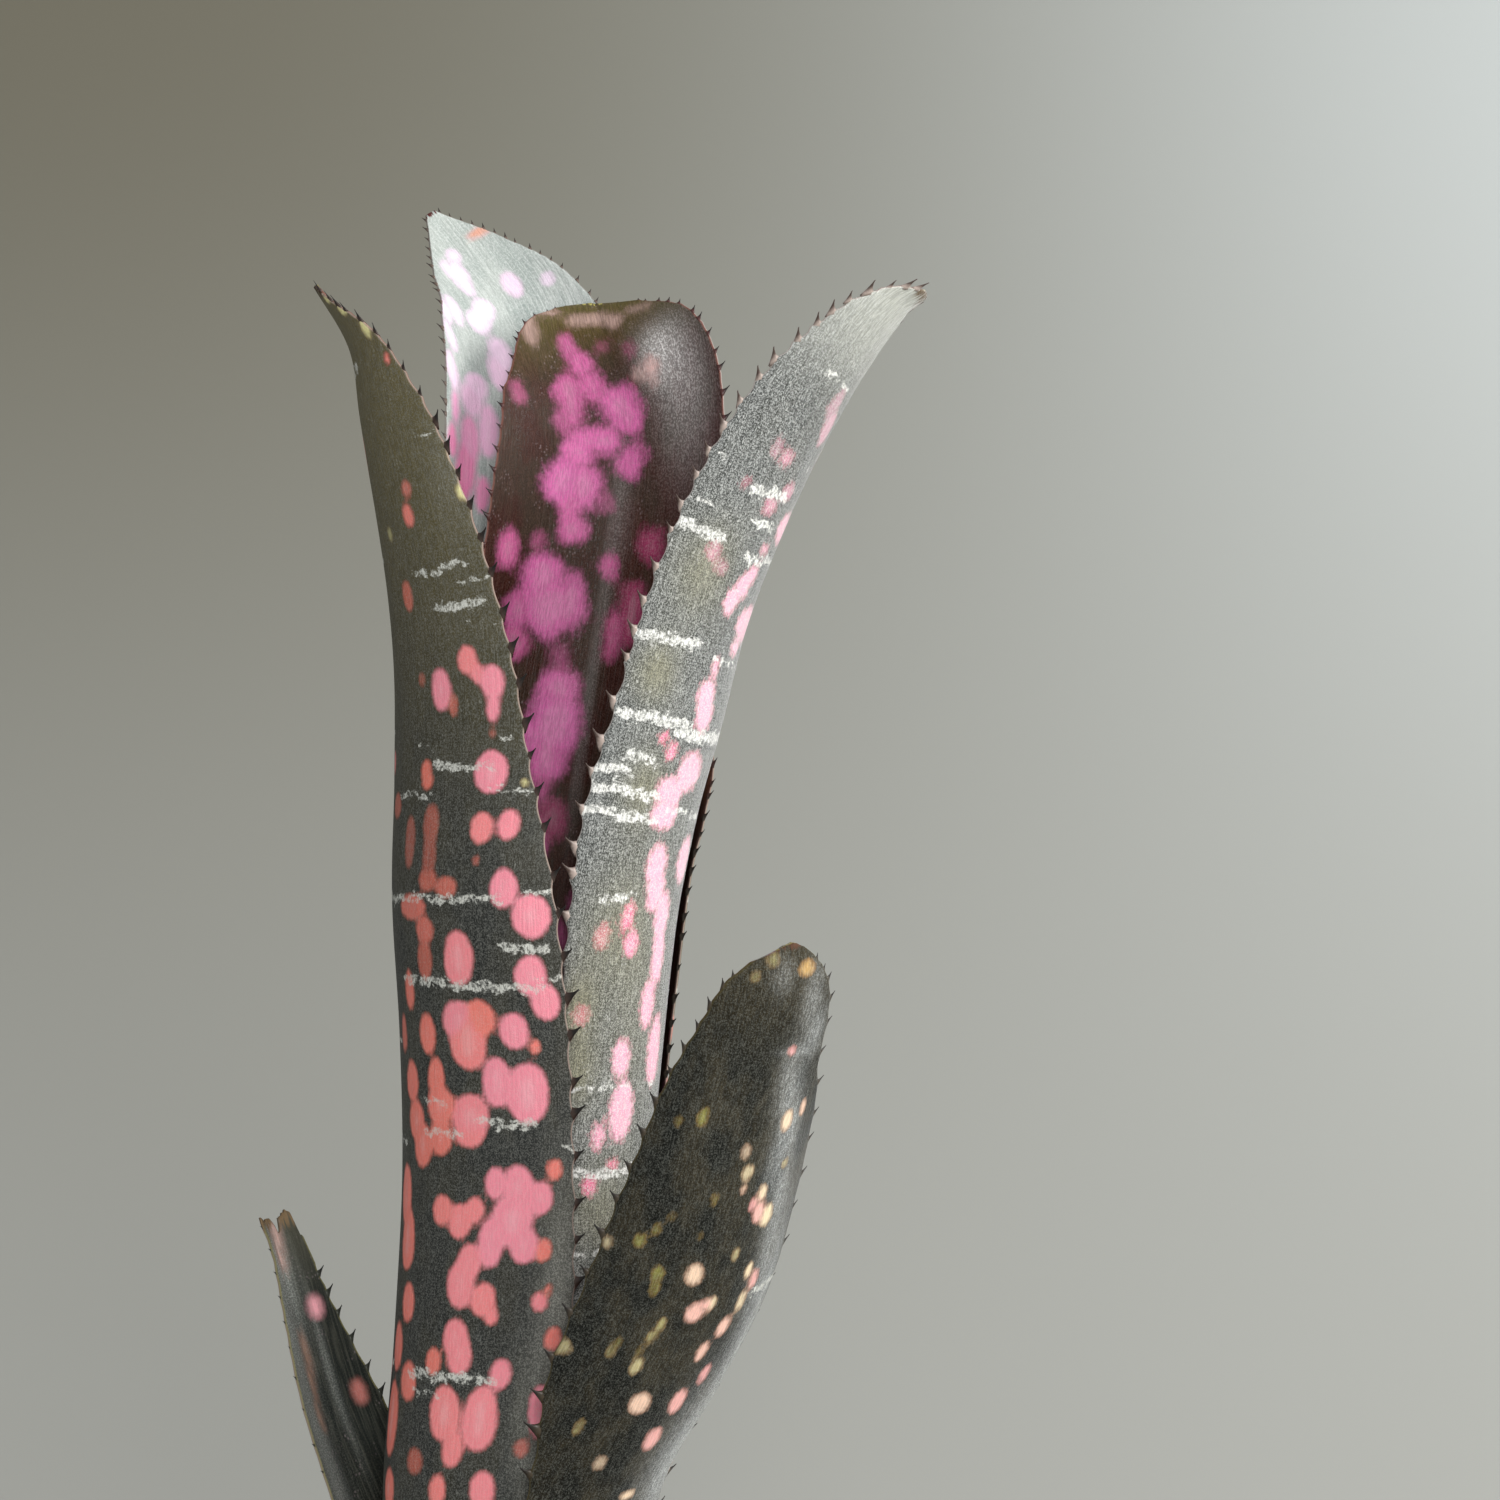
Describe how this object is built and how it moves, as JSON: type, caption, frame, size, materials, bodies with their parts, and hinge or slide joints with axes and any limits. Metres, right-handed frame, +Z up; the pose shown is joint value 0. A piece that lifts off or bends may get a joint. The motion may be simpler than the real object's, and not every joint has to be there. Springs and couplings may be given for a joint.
{
  "type": "potted bromeliad",
  "caption": "tall tubular bromeliad whose spotted strap leaves wrap into a water-holding tube and flare at the top, rooted in potting mix in a plain tapered clay pot with a collar",
  "frame": {"origin": "centre of the pot's flat underside, where the pot stands", "axes": "+Z up through the plant, -Y the front that the picture shows, +X to the right as seen from the front"},
  "size_m": [0.1226, 0.114, 0.3998],
  "materials": {
    "clay": "unglazed fired clay, matt and slightly gritty",
    "mix": "moist bark and fibre potting mix",
    "stem": "woody stem, dull",
    "root": "wiry dry root, dull",
    "leaf_dark": "dark charcoal green leaf with pink spots and fine pale scurf",
    "leaf_pale": "grey leaf with pale cross bands and pink spots",
    "leaf_inner": "maroon satin leaf with magenta blotches",
    "sheath_dry": "dry papery basal sheath"
  },
  "bodies": {
    "root": {"pot": "clay", "potting_mix": "mix", "stem": "stem", "root_1": "root", "root_2": "root", "root_3": "root", "root_4": "root", "root_5": "root", "leaf_center": "leaf_inner", "leaf_right": "leaf_pale", "leaf_back_right": "leaf_dark", "leaf_back_left": "leaf_pale", "leaf_left": "leaf_dark", "leaf_low_right": "leaf_dark", "leaf_low_left": "leaf_dark", "sheath_right": "sheath_dry", "sheath_front": "sheath_dry"}
  },
  "joints": []
}
